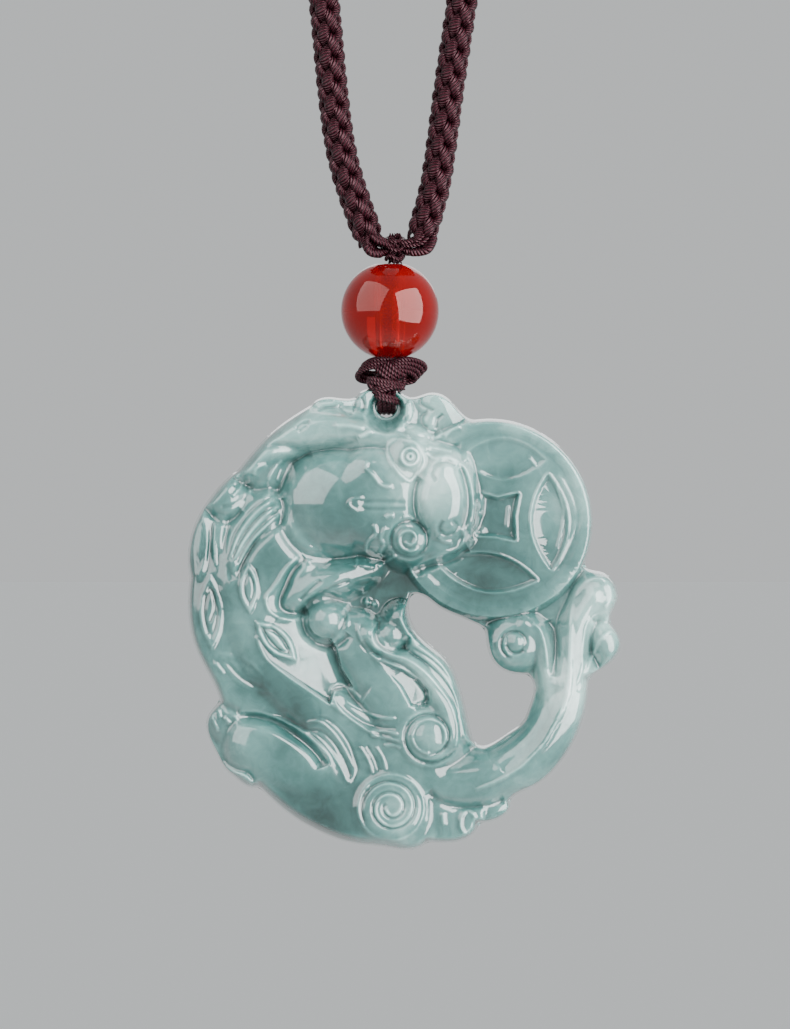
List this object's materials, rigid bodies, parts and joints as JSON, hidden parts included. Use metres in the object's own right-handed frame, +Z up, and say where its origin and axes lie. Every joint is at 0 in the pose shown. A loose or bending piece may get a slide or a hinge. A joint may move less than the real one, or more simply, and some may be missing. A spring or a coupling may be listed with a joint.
{
  "type": "jade pendant on a braided neck cord",
  "caption": "Carved jade pendant of a curled beast holding a cash coin, hung by a knotted thread and a red bead from a braided neck cord.",
  "frame": {"origin": "underside of the top of the neck loop, where it hangs", "axes": "+Z up, the jade's carved face looks along -Y, +X to its right"},
  "size_m": [0.066, 0.0115, 0.3561],
  "materials": {
    "jade": "polished translucent jadeite",
    "red_agate": "polished translucent red agate",
    "thread": "dark maroon twisted nylon thread",
    "braid": "dark maroon braided nylon cord"
  },
  "bodies": {
    "cord_set": {"neck_cord": "braid", "gather_knot": "thread", "bead_thread": "thread", "red_bead": "red_agate", "lower_knot": "thread", "bail_loop": "thread"},
    "jade": {"jade_carving": "jade"}
  },
  "joints": [
    {"name": "jade_swing", "type": "hinge", "parent": "cord_set", "child": "jade", "pos_m": [-0.00035, 0, -0.30597], "axis": [1, 0, 0], "range_deg": [-12, 12]}
  ]
}
